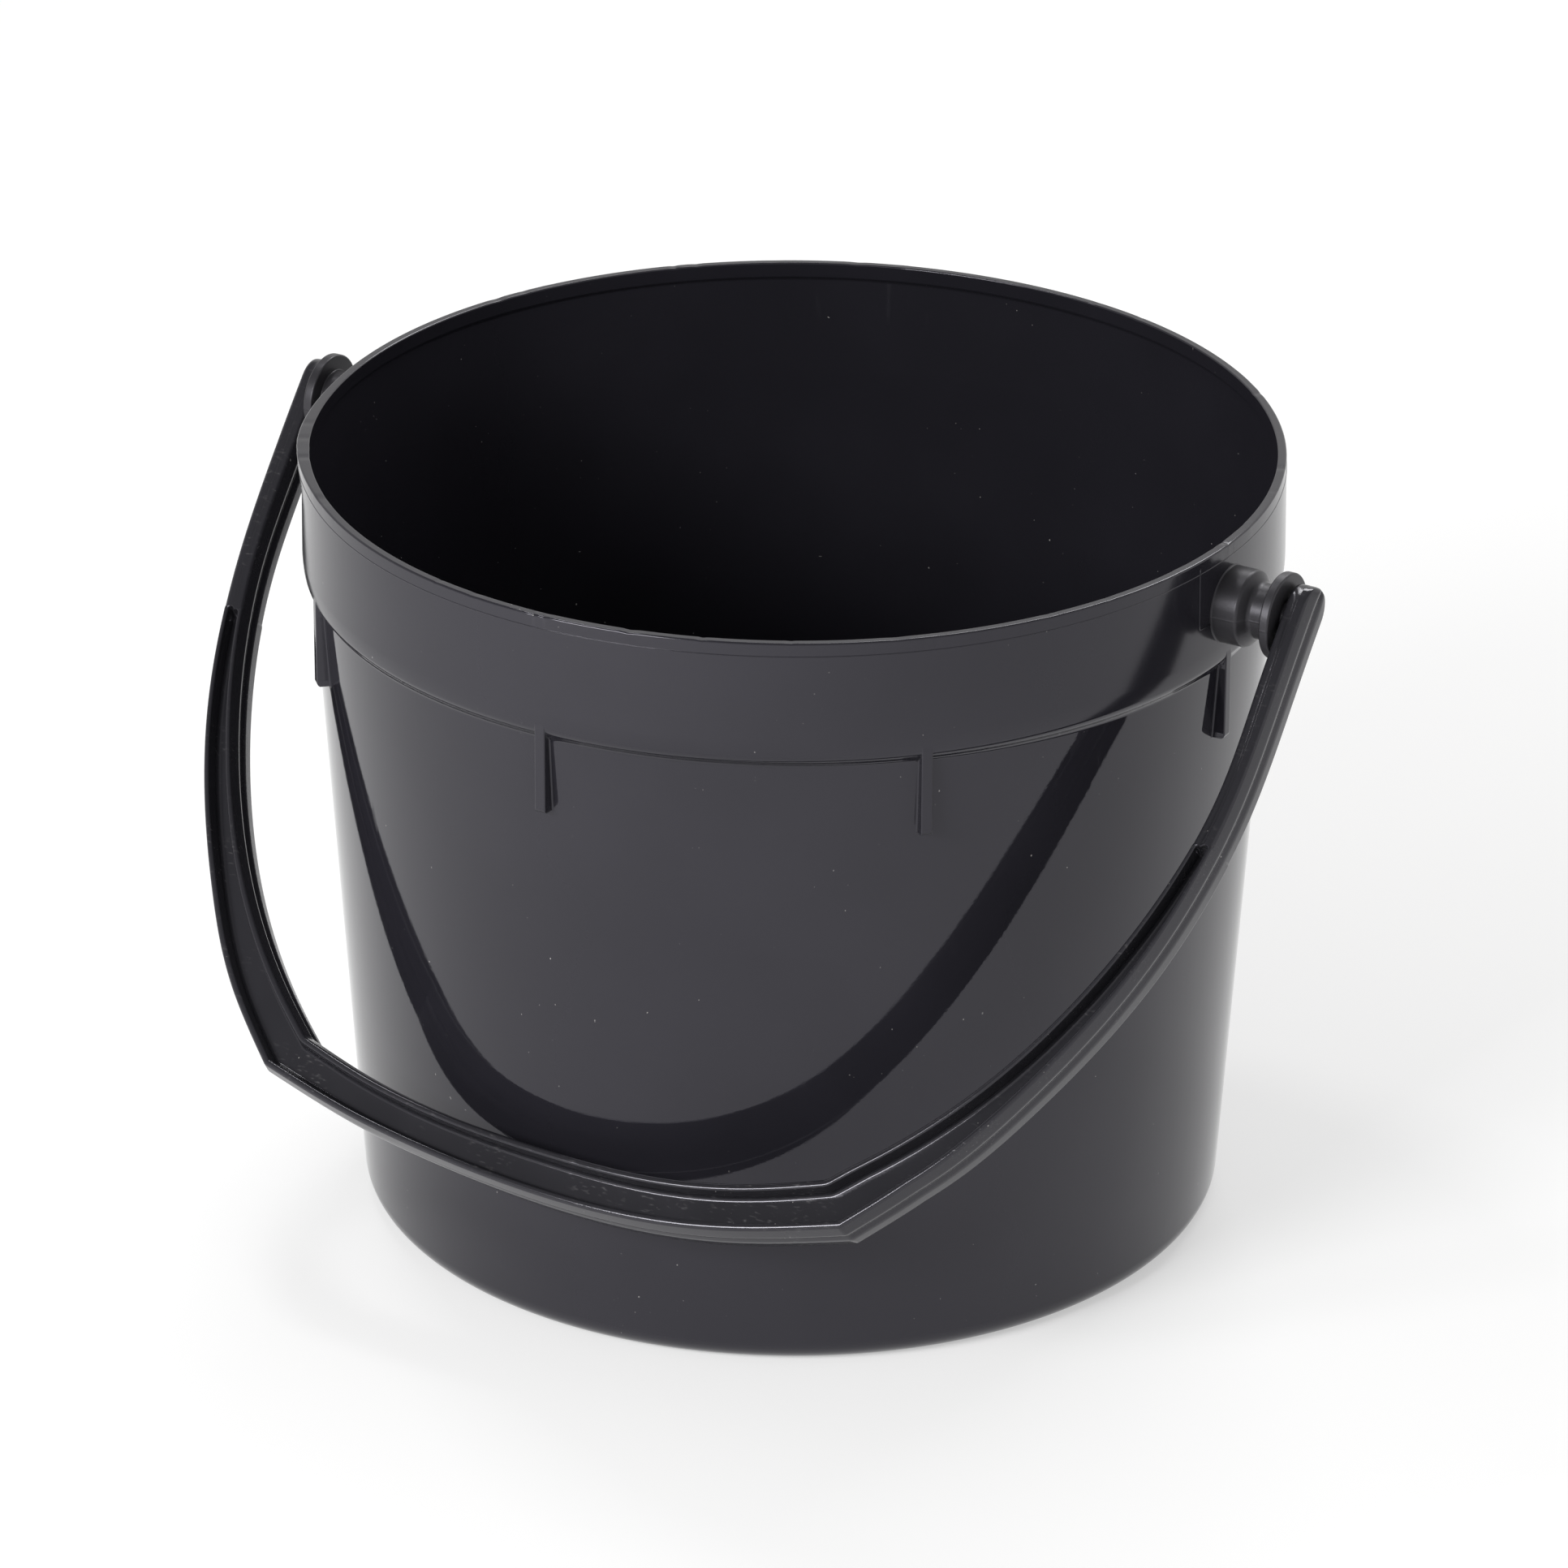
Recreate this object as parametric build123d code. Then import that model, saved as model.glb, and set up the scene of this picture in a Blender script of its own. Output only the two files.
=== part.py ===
from build123d import *
import math
import os

os.makedirs("parts", exist_ok=True)

# Florist bucket of about five litres: a moulded tub and a moulded bail that swings on it.
# Millimetres. +Z is up, the tub stands on z = 0, and its axis is Z.
# The bail turns about a line along X, and hangs against the wall on the -Y side.

# Tub wall and floor
HEIGHT = 185.0
WALL_R_FOOT = 100.3
WALL_R_BAND = 110.7
BAND_FOOT_Z = 155.0
WALL_T = 1.55
FOOT_ROUND = 7.3
FLOOR_T = 1.9
FLOOR_ROUND = 5.7
FOOT_RECESS = 1.2
FOOT_RECESS_R = 86.0

# Band and rim lip
BAND_R = 112.8
BAND_ROUND = 4.5
RIM_R = 112.5
RIM_EDGE = 0.6
LIP_R = 110.4
LIP_H = 3.6
LIP_SLOPE_H = 0.8
LIP_EDGE = 0.5

# Stacking fins below the band
FIN_COUNT = 8
FIN_T = 2.6
FIN_H = 18.0
FIN_ROOT_R = 109.45
FIN_R = 112.7
FIN_ROUND = 1.2

# Pivot spools, one on each side, each with a blind snap bore
PIVOT_Z = 170.1
BOSS_ROOT_X = 110.6
BOSS_R = 8.9
BOSS_END_X = 118.4
NECK_R = 6.4
NECK_START_X = 120.2
DISC_R = 10.0
DISC_START_X = 124.7
DISC_END_X = 127.05
SPOOL_EDGE = 0.4
BORE_R = 4.10
BORE_END_X = 114.5
GROOVE_R = 4.85
GROOVE_START_X = 118.4
GROOVE_END_X = 122.2

# Bail: outline on its front face, as (across, reach from the pivot line), for one half
ARM_OUTER = [(132.15, 0.0), (132.1, 20.0), (131.3, 45.0), (128.6, 65.0), (123.5, 85.0),
             (115.5, 105.0), (104.9, 125.0), (91.0, 145.0), (76.0, 160.0)]
ARM_INNER = [(127.75, 0.0), (127.7, 20.0), (127.1, 45.0), (123.5, 65.0), (117.0, 85.0),
             (107.7, 105.0), (94.8, 125.0), (76.2, 145.0), (68.8, 151.4)]
GRIP_OUTER = [(76.0, 160.0), (55.0, 165.4), (40.0, 168.2), (20.0, 170.4), (0.0, 171.1)]
GRIP_INNER = [(68.8, 151.4), (55.0, 155.4), (40.0, 158.6), (20.0, 160.8), (0.0, 161.3)]
BAIL_T = 11.6
BAIL_BULGE = 0.6
ARM_END = 8.0
ARM_END_R = 5.9
REST_TILT = 42.15
FACE_CORNERS = (2.0, 4.6)
MID_CORNERS = (2.6, 4.0)

# Channel in the front and the back of the bail
CHANNEL_DEPTH = 4.4
CHANNEL_START = 57.0
CHANNEL_END_SLOPE = 1.5
RIDGE_T = 1.55
RIDGE_T_DEEP = 1.95
THIN_RIDGE = 0.62
RIDGE_FULL_REACH = 140.0
RIDGE_THIN_REACH = 50.0
MOUTH_CORNERS = (1.0, 5.6)
BED_CORNERS = (0.8, 6.0)

# Pegs that snap into the spools
PEG_R = 4.02
PEG_END_X = 115.2
PEG_EDGE = 0.6
BEAD_R = 4.45
BEAD_START_X = 119.3
BEAD_END_X = 121.3

OVERRUN = 1.0


def wall_r(z):
    """Outer radius of the tapered wall."""
    return WALL_R_FOOT + (WALL_R_BAND - WALL_R_FOOT) * z / BAND_FOOT_Z


def both_sides(solid):
    return [solid, mirror(solid, about=Plane.YZ)]


def tub_outer():
    """The outer shape of the tub, solid."""
    slope = math.atan((WALL_R_BAND - WALL_R_FOOT) / BAND_FOOT_Z)
    foot_r = wall_r(FOOT_ROUND) - FOOT_ROUND / math.cos(slope)
    foot_turn = math.radians(-45) + slope / 2
    foot_mid = (foot_r + FOOT_ROUND * math.cos(foot_turn), FOOT_ROUND + FOOT_ROUND * math.sin(foot_turn))
    foot_top = (foot_r + FOOT_ROUND * math.cos(slope), FOOT_ROUND - FOOT_ROUND * math.sin(slope))
    band_centre = BAND_R - BAND_ROUND
    rise = math.sqrt(BAND_ROUND ** 2 - (WALL_R_BAND - band_centre) ** 2)
    band_z = BAND_FOOT_Z + rise
    band_turn = math.atan2(-rise, WALL_R_BAND - band_centre) / 2
    band_mid = (band_centre + BAND_ROUND * math.cos(band_turn), band_z + BAND_ROUND * math.sin(band_turn))
    with BuildPart() as tub:
        with BuildSketch(Plane.XZ):
            with BuildLine():
                Line((0, 0), (foot_r, 0))
                ThreePointArc((foot_r, 0), foot_mid, foot_top)
                Line(foot_top, (WALL_R_BAND, BAND_FOOT_Z))
                ThreePointArc((WALL_R_BAND, BAND_FOOT_Z), band_mid, (BAND_R, band_z))
                Polyline((BAND_R, band_z), (RIM_R, HEIGHT - RIM_EDGE), (RIM_R - RIM_EDGE, HEIGHT),
                         (0, HEIGHT), (0, 0))
            make_face()
        revolve(axis=Axis.Z)
    return tub.part


def tub_hollow():
    """The space inside the tub, with the step under the rim lip."""
    floor_z = FOOT_RECESS + FLOOR_T
    lip_z = HEIGHT - LIP_H
    under_z = lip_z - LIP_SLOPE_H
    top = HEIGHT + OVERRUN
    with BuildPart() as hollow:
        with BuildSketch(Plane.XZ):
            with BuildLine():
                Polyline((0, floor_z), (wall_r(floor_z) - WALL_T, floor_z),
                         (wall_r(under_z) - WALL_T, under_z), (LIP_R, lip_z),
                         (LIP_R, HEIGHT - LIP_EDGE), (LIP_R + LIP_EDGE, HEIGHT),
                         (LIP_R + LIP_EDGE, top), (0, top), (0, floor_z))
            make_face()
        revolve(axis=Axis.Z)
        fillet(hollow.edges().filter_by(GeomType.CIRCLE).sort_by(Axis.Z)[0], FLOOR_ROUND)
    return hollow.part


def foot_recess():
    """Shallow recess that leaves the tub standing on a ring."""
    return Pos(0, 0, FOOT_RECESS / 2) * Cone(FOOT_RECESS_R + FOOT_RECESS, FOOT_RECESS_R, FOOT_RECESS)


def fin(angle):
    """One upright fin, flush with the band, with a rounded lower outer corner."""
    top = BAND_FOOT_Z + BAND_ROUND / 3
    foot = BAND_FOOT_Z - FIN_H
    bar = Box(FIN_R - FIN_ROOT_R, FIN_T, top - foot, align=(Align.MIN, Align.CENTER, Align.MIN))
    corner = bar.edges().filter_by(Axis.Y).sort_by(Axis.Z)[0:2].sort_by(Axis.X)[-1]
    return Rot(0, 0, angle) * Pos(FIN_ROOT_R, 0, foot) * fillet(corner, FIN_ROUND)


def turned(points):
    """Solid turned about the X axis from (x, radius) points."""
    with BuildPart() as solid:
        with BuildSketch(Plane.XZ):
            with BuildLine():
                Polyline(*points, close=True)
            make_face()
        revolve(axis=Axis.X)
    return solid.part


def spool():
    """Boss, neck and disc that carry one arm of the bail."""
    return turned([(BOSS_ROOT_X, 0), (BOSS_ROOT_X, BOSS_R), (BOSS_END_X - SPOOL_EDGE, BOSS_R),
                   (BOSS_END_X, BOSS_R - SPOOL_EDGE), (NECK_START_X, NECK_R), (DISC_START_X, NECK_R),
                   (DISC_START_X, DISC_R - SPOOL_EDGE), (DISC_START_X + SPOOL_EDGE, DISC_R),
                   (DISC_END_X - SPOOL_EDGE, DISC_R), (DISC_END_X, DISC_R - SPOOL_EDGE),
                   (DISC_END_X, 0)])


def spool_bore():
    """Blind bore with a groove for the peg's bead, and a lead-in at its mouth."""
    mouth = DISC_END_X + OVERRUN
    return turned([(BORE_END_X, 0), (BORE_END_X, BORE_R), (GROOVE_START_X, BORE_R),
                   (GROOVE_START_X, GROOVE_R), (GROOVE_END_X, GROOVE_R), (GROOVE_END_X, BORE_R),
                   (DISC_END_X - SPOOL_EDGE, BORE_R), (DISC_END_X, BORE_R + SPOOL_EDGE),
                   (mouth, BORE_R + SPOOL_EDGE), (mouth, 0)])


def make_tub():
    tub = tub_outer()
    for i in range(FIN_COUNT):
        tub = tub + fin(i * 360 / FIN_COUNT)
    for piece in both_sides(spool()):
        tub = tub + Pos(0, 0, PIVOT_Z) * piece
    tub = tub - tub_hollow() - foot_recess()
    for bore in both_sides(spool_bore()):
        tub = tub - Pos(0, 0, PIVOT_Z) * bore
    return tub


def mirror_points(points):
    return [(-across, reach) for across, reach in reversed(points)]


def normal_at(points, i):
    """Unit normal of a point list, to the outside of a list that runs away from the pivot."""
    before = points[max(i - 1, 0)]
    after = points[min(i + 1, len(points) - 1)]
    run = (after[0] - before[0], after[1] - before[1])
    size = math.hypot(*run)
    return run[1] / size, -run[0] / size


def ridge_share(reach):
    """The ridge beside the channel is thinner where the arm is thin."""
    span = (reach - RIDGE_THIN_REACH) / (RIDGE_FULL_REACH - RIDGE_THIN_REACH)
    return THIN_RIDGE + (1 - THIN_RIDGE) * min(1.0, max(0.0, span))


def moved(points, grow, inset):
    """Points moved outwards by grow and inwards by the local ridge thickness."""
    result = []
    for i, (across, reach) in enumerate(points):
        normal = normal_at(points, i)
        step = grow - inset * ridge_share(reach)
        result.append((across + normal[0] * step, reach + normal[1] * step))
    return result


def crossing(a, b, c, d):
    """Where the line through a and b meets the line through c and d."""
    ab = (b[0] - a[0], b[1] - a[1])
    cd = (d[0] - c[0], d[1] - c[1])
    share = ((c[0] - a[0]) * cd[1] - (c[1] - a[1]) * cd[0]) / (ab[0] * cd[1] - ab[1] * cd[0])
    return a[0] + ab[0] * share, a[1] + ab[1] * share


def point_at(points, reach):
    """Point of an arm's point list at the given reach."""
    for (a0, r0), (a1, r1) in zip(points, points[1:]):
        if r0 <= reach <= r1:
            return a0 + (a1 - a0) * (reach - r0) / (r1 - r0), reach
    return points[0][0], reach


def edge_points(arm, grip, start, grow, inset):
    """Point lists of one edge of the bail, moved sideways, from the arm's start to mid grip."""
    arm = moved(arm, grow, inset)
    grip = moved(grip, grow, inset)
    corner = crossing(arm[-2], arm[-1], grip[0], grip[1])
    kept = [p for p in arm[:-1] if p[1] > start + OVERRUN]
    return [point_at(arm, start)] + kept + [corner], [corner] + grip[1:-1] + [(0.0, grip[-1][1])]


def bail_face(height, grow, inset, start, corners):
    """Face of the bail's outline at a height above its mid plane."""
    arm_out, grip_out = edge_points(ARM_OUTER, GRIP_OUTER, start, grow, inset)
    arm_in, grip_in = edge_points(ARM_INNER, GRIP_INNER, start, -grow, -inset)
    with BuildSketch(Plane.XY.offset(height)) as sketch:
        with BuildLine():
            Spline(*arm_out)
            Spline(*(grip_out + mirror_points(grip_out)[1:]))
            Spline(*mirror_points(arm_out))
            Line((-arm_out[0][0], arm_out[0][1]), (-arm_in[0][0], arm_in[0][1]))
            Spline(*mirror_points(arm_in))
            Spline(*(grip_in + mirror_points(grip_in)[1:]))
            Spline(*arm_in)
            Line(arm_in[0], arm_out[0])
        make_face()
        for arm, radius in zip((arm_out, arm_in), corners):
            fillet([p for p in sketch.vertices() if abs(abs(p.X) - arm[-1][0]) < 0.01], radius)
    return sketch.sketch.faces()[0]


def half_bar():
    """Front half of the bail, which bulges a little towards its mid plane."""
    mid = bail_face(0, BAIL_BULGE, 0, -ARM_END, MID_CORNERS)
    front = bail_face(BAIL_T / 2, 0, 0, -ARM_END, FACE_CORNERS)
    return loft([mid, front], ruled=True)


def channel():
    """The long channel between the two ridges of the front face."""
    bed = bail_face(BAIL_T / 2 - CHANNEL_DEPTH, 0, RIDGE_T_DEEP, CHANNEL_START + CHANNEL_END_SLOPE, BED_CORNERS)
    mouth = bail_face(BAIL_T / 2 + 0.01, 0, RIDGE_T, CHANNEL_START, MOUTH_CORNERS)
    return loft([bed, mouth], ruled=True)


def peg():
    """Round peg with a snap bead, from the +X arm inwards."""
    return turned([(PEG_END_X, 0), (PEG_END_X, PEG_R - PEG_EDGE), (PEG_END_X + PEG_EDGE, PEG_R),
                   (BEAD_START_X - PEG_EDGE, PEG_R), (BEAD_START_X, BEAD_R), (BEAD_END_X, BEAD_R),
                   (BEAD_END_X, PEG_R), (ARM_INNER[0][0] + OVERRUN, PEG_R),
                   (ARM_INNER[0][0] + OVERRUN, 0)])


def arm_end_waste():
    """What is cut from the square arm ends to leave them round, seen from the side."""
    start = ARM_END_R - ARM_END
    block = Pos(0, start, 0) * Box(300, 20, 20, align=(Align.CENTER, Align.MAX, Align.CENTER))
    return block - Pos(0, start, 0) * Rot(0, 90, 0) * Cylinder(ARM_END_R, 320)


def make_bail():
    """The bail, made flat in X and Y and then hung on the pivot line."""
    half = half_bar()
    groove = channel()
    bail = half + mirror(half, about=Plane.XY) - groove - mirror(groove, about=Plane.XY)
    for pin in both_sides(peg()):
        bail = bail + pin
    bail = bail - arm_end_waste()
    tilt = math.radians(REST_TILT)
    hang = Plane(origin=(0, 0, PIVOT_Z), x_dir=(1, 0, 0), z_dir=(0, math.cos(tilt), -math.sin(tilt)))
    return hang.location * bail


for name, solid in (("bucket_body", make_tub()), ("bail_handle", make_bail())):
    export_step(solid, f"parts/{name}.step")
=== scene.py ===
"""Florist bucket: a moulded tub and the moulded bail that swings on it.

Lengths are in millimetres until a mesh is made, and metres in Blender. The origin is the centre of the
foot ring, Z is up, the pivot line runs along X and the front is at -Y.
"""
import math

import bpy
import numpy as np
from mathutils import Matrix, Vector


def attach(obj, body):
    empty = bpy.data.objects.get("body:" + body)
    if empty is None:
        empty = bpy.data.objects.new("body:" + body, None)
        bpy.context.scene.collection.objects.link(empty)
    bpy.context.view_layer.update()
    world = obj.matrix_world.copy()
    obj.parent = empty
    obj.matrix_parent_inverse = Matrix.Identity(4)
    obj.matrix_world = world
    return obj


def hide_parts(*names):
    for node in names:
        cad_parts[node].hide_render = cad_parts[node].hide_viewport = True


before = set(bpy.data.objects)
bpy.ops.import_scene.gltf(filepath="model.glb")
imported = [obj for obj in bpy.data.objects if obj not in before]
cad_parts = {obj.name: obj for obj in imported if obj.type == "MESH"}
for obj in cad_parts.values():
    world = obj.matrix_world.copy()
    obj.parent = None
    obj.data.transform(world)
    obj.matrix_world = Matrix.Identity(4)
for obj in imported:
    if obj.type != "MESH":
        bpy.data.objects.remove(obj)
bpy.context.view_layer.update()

MM = 0.001

# Tub wall, floor, band and rim lip. Names end in R for a radius, Z for a height above the ground, H for a
# height of its own, T for a thickness and W for a width.
HEIGHT = 185.0
WALL_R_FOOT = 100.3
WALL_R_BAND = 110.7
BAND_FOOT_Z = 155.0
WALL_T = 1.55
FOOT_ROUND = 7.3
FLOOR_Z = 3.1
FLOOR_ROUND = 5.7
FOOT_RECESS = 1.2
FOOT_RECESS_R = 86.0
MIDDLE_R = 2.0
BAND_R = 112.8
BAND_FOOT_H = 5.0
BAND_BEND_H = 1.7
BAND_BEND_IN = 0.35
RIM_R = 112.5
LIP_R = 110.4
LIP_H = 3.6
LIP_SLOPE_H = 0.8

# Fine raised line round the top of the band, where two parts of the mould meet
WITNESS_R = RIM_R + 0.04
WITNESS_DROP = 3.1
WITNESS_RISE = 0.12
WITNESS_W = 0.14

# The rim bulges a little over a short arc
FLARE_AT = math.radians(209)
FLARE_W = math.radians(12)
FLARE_H = 9.0
FLARE_OUT = 1.2
FLARE_IN = 0.3

# Unevenness of the wall, and nicks and flash along the rim
RIPPLE_SIZE = 0.03
RIPPLE_SEED = 3
RIPPLE_WAVES = 14
RIPPLE_AROUND = (2, 17)
RIPPLE_UP = (0.01, 0.05)
RIPPLE_FROM_Z = 12
RIPPLE_RUN = 20
RIPPLE_MIN_R = 95
FLAW_SEED = 21
FLAWS = 46
FLAW_W = (0.004, 0.018)
FLAW_OUT = (-0.10, 0.10)
FLAW_UP = (-0.14, 0.03)
FLAW_H = 1.2

# Stacking fins below the band
FIN_COUNT = 8
FIN_HALF_T = 1.3
FIN_FOOT_Z = 137.0
FIN_R = 112.7
FIN_EDGE = 0.35
FIN_FOOT_EDGE = 1.2
FIN_ROOT = 0.4
FIN_MID_Z = 146

# The tub's mesh: columns all round, columns beside a fin's middle, and the longest step along the profile
WALL_COLUMNS = 720
FIN_COLUMNS = [0, 0.5, 0.85, 1.0, 1.1, 1.18, 1.24, 1.28, 1.3, 1.325, 1.36, 1.42, 1.5, 1.62, 1.75, 2.1]
FIN_CLEARANCE = 1.15
PROFILE_STEP = 9

# Pivot spools, turned about the pivot line: X for distances from the tub's middle
PIVOT_Z = 170.1
BOSS_R = 8.9
BOSS_ROOT = 0.35
NECK_R = 6.4
DISC_R = 10.0
BORE_R = 4.1
GROOVE_R = 4.85
SPOOL_START_X = 111.5
BOSS_FACE_X = 118.4
NECK_X = 120.3
DISC_BACK_X = 124.7
DISC_FACE_X = 127.05
GROOVE_X = (118.4, 122.2)
BORE_END_X = 114.5
PARTING_H = 0.07
PARTING_W = 0.16
PARTING_COLUMNS = [0.0, 0.012, 0.024, 0.045, 0.08]
SPOOL_COLUMNS = 96

# The spool's outline as corners (x, radius) with the rounding of each. Past BORE_MOUTH, in the same terms,
# it has no parting line.
SPOOL_OUTLINE = [((115.5, BOSS_R), 0), ((BOSS_FACE_X, BOSS_R), 0.5), ((NECK_X, NECK_R), 0.7),
                 ((DISC_BACK_X, NECK_R), 0.3), ((DISC_BACK_X, DISC_R), 0.45), ((DISC_FACE_X, DISC_R), 0.5),
                 ((DISC_FACE_X, BORE_R), 0.4), ((GROOVE_X[1], BORE_R), 0.1), ((GROOVE_X[1], GROOVE_R), 0.1),
                 ((GROOVE_X[0], GROOVE_R), 0.1), ((GROOVE_X[0], BORE_R), 0.1), ((BORE_END_X, BORE_R), 0.1),
                 ((BORE_END_X, 1.0), 0)]
BORE_MOUTH = (126, 6)

# Snap pegs on the arms' inner sides, in the same way, with a bead that sits in the spool's groove
PEG_R = 4.02
PEG_BEAD_R = 4.45
PEG_X = (115.2, 129.0)
PEG_OUTLINE = [((PEG_X[0], 0.8), 0), ((PEG_X[0], 3.4), 0.1), ((115.8, PEG_R), 0.2), ((118.9, PEG_R), 0.1),
               ((119.3, PEG_BEAD_R), 0.15), ((121.3, PEG_BEAD_R), 0.15), ((121.5, PEG_R), 0.1),
               ((PEG_X[1], PEG_R), 0)]
PEG_COLUMNS = 48

# Fine raised lines on the band beside each spool, left by a mould insert, as (across, z)
INSERT_LINE_W = 0.3
INSERT_LINE_H = 0.14
INSERT_CORNER = (-13.3, 168.5)
INSERT_ENDS = [(-13.3, 183.4), (-9.0, 168.3)]

# Bail outline on its front face, as (across, reach from the pivot line), for one half
ARM_OUTER = [(132.15, -12.0), (132.15, 0.0), (132.1, 20.0), (131.3, 45.0), (128.6, 65.0), (123.5, 85.0),
             (115.5, 105.0), (104.9, 125.0), (91.0, 145.0), (76.0, 160.0)]
ARM_INNER = [(127.75, -12.0), (127.75, 0.0), (127.7, 20.0), (127.1, 45.0), (123.5, 65.0), (117.0, 85.0),
             (107.7, 105.0), (94.8, 125.0), (76.2, 145.0), (68.8, 151.4)]
GRIP_OUTER = [(76.0, 160.0), (55.0, 165.4), (40.0, 168.2), (20.0, 170.4), (0.0, 171.1)]
GRIP_INNER = [(68.8, 151.4), (55.0, 155.4), (40.0, 158.6), (20.0, 160.8), (0.0, 161.3)]
BAIL_T = 11.6
ARM_END = 8.0
ARM_TIP_ROUND = 1.2
REST_TILT = math.radians(42.15)

# Channel in the front and in the back of the bail, and the ridges beside it
CHANNEL_DEPTH = 4.4
CHANNEL_START = 57.0
CHANNEL_END_R = 1.3
CHANNEL_RUN = 1.7
CHANNEL_GAP = 0.3
RIDGE_T = 1.45
RIDGE_T_DEEP = 1.9
THIN_RIDGE = 0.62
RIDGE_THIN_REACH = 50.0
RIDGE_FULL_REACH = 140.0

# Edges along the bail: offset outwards, and fillet radii (outer, inner) where arm and grip meet. The edges
# of the channel's mouth and bed have the radii alone.
FRONT_FACE = (0.0, (2.0, 4.6))
FRONT_SWELL = (0.8, (2.6, 4.0))
BACK_FACE = (0.3, (2.0, 4.6))
BACK_SWELL = (0.6, (2.4, 4.2))
PARTING = (0.12, (2.4, 4.2))
MOUTH_CORNERS = (1.0, 5.6)
BED_CORNERS = (0.8, 6.0)

# Section of the bail: heights of the seam and the swell, and the rounding of each edge
SEAM_H = 0.05
SEAM_ROUND = 0.03
SWELL_SHARE = 0.32
SWELL_ROUND = 0.6
FRONT_ROUND = 1.5
BACK_ROUND = 1.15
MOUTH_ROUND = 0.5
BED_ROUND = 0.9

# The bail's mesh: stations along an arm, round a corner and along half the grip
END_STEPS = 13
COARSE_STATIONS = (0, 52, 3.0)
FINE_STATIONS = (62, 158, 1.6)
CHANNEL_STEPS = [-3, -1, -0.3, 0, 0.05, 0.12, 0.22, 0.36, 0.55, 0.8, 1.1, 1.4, 1.8, 2.5]
GRIP_STEPS = 44
CORNER_STEPS = 12

# Along an arm the sections turn square to its edges from SLANT_FROM on, and are drawn towards the corner's
# fillet from BLEND_REACH on. Widths are taken no further than WIDTH_REACH. GRIP_REACH stands for the whole
# grip.
SLANT_FROM = 57
SLANT_RUN = 20
BLEND_REACH = 115.0
WIDTH_REACH = 140
GRIP_REACH = 200.0
CORNER_GUESS = [155.0, 70.0]

# How this bail sits on its spools: pushed to one side, and slightly warped in its own plane
SIDE_PLAY = 0.45
SIDE_LEAN = 0.85
LEAN_REACH = 60.0
WARP = math.radians(0.15)
WARP_REACH = 160.0

# Its grip grows fuller from left to right
SPREAD = 0.12
SPREAD_FROM = 148.0
SPREAD_START = -42.0
SPREAD_RUN = 92.0

# Black polypropylene: noise as (cycles per metre, detail) and the range of it that shows. The band is
# duller than the wall, from BAND_DULL_Z up, which is in metres.
DUST = (0.3, 0.29, 0.28)
CLOUDS = (22, 3)
CLOUD_RANGE = (0.35, 0.65)
CLOUD_LIGHTER = 1.18
SPECKS = (1400, 0)
SPECK_RANGE = (0.882, 0.892)
PATCHES = (60, 1)
PATCH_RANGE = (0.45, 0.62)
GLOSS = (45, 4, 0.6)
GLOSS_RANGE = (0.3, 0.7)
GRAIN = (1500, 2)
SLOW_WAVES = (120, 1)
IOR = 1.47
SHEEN_TINT = (0.93, 0.91, 1.0, 1)
BAND_DULL_Z = (0.1545, 0.1585)

# Fine marks, as (stretch, cycles per metre, low, high): upright hairlines, and scuffs along X
HAIRLINES = ((1, 1, 0.12), 420, 0.70, 0.78)
SCUFFS = ((0.35, 1, 1), 1500, 0.60, 0.78)

# Studio floor: two greys, and the light it gives off
FLOOR_GREYS = (0.54, 0.58)
FLOOR_GLOW = 0.44
FLOOR_HALF = 6.0

# World brightness against each component of a direction: low, high, brightness at low, brightness at high
WORLD_Y = (-1, 1, 0.72, 1.04)
WORLD_Z = (0.48, 0.72, 1, 0.3)
WORLD_X = (-0.9, 0.2, 0.72, 1)
WORLD_COLOUR = (1, 0.997, 0.99, 1)

# Area lights, in metres and watts: name, place, aim, size, power
LIGHTS = [("softbox_front", (-0.25, -1.15, 0.65), (-0.1, -0.45, 0), (0.6, 0.35), 15),
          ("softbox_back", (-0.1, 1.1, 1.2), (0.02, 0.5, 0), (0.9, 0.4), 9.5),
          ("small_overhead", (-0.45, 0.2, 1.1), (0, 0, 0.05), (0.16, 0.16), 1.5)]

# Camera, at the photograph's viewing angle
CAM_AZIMUTH = 0.519372
CAM_ELEVATION = 0.438357
CAM_ROLL = 0.00473
CAM_DISTANCE = 2194.9
CAM_TARGET_Z = 94.04
CAM_AIM_RIGHT = -1.97
CAM_AIM_UP = 4.45
CAM_LENS = 216.6
SENSOR = 36.0


# ---------------------------------------------------------------- curves

class Spline:
    """Natural cubic spline y(x) through points with rising x."""

    def __init__(self, x, y):
        order = np.argsort(x)
        self.x = np.asarray(x, float)[order]
        self.y = np.asarray(y, float)[order]
        h = np.diff(self.x)
        n = len(self.x)
        a = np.eye(n)
        b = np.zeros(n)
        for i in range(1, n - 1):
            a[i, i - 1:i + 2] = h[i - 1], 2 * (h[i - 1] + h[i]), h[i]
            b[i] = 6 * ((self.y[i + 1] - self.y[i]) / h[i] - (self.y[i] - self.y[i - 1]) / h[i - 1])
        self.m = np.linalg.solve(a, b)

    def __call__(self, t):
        t = np.asarray(t, float)
        i = np.clip(np.searchsorted(self.x, t) - 1, 0, len(self.x) - 2)
        h = self.x[i + 1] - self.x[i]
        u = (t - self.x[i]) / h
        w = 1 - u
        bend = ((w ** 3 - w) * self.m[i] + (u ** 3 - u) * self.m[i + 1]) * h ** 2 / 6
        return w * self.y[i] + u * self.y[i + 1] + bend

    def slope(self, t):
        return (self(t + 0.01) - self(t - 0.01)) / 0.02


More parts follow.
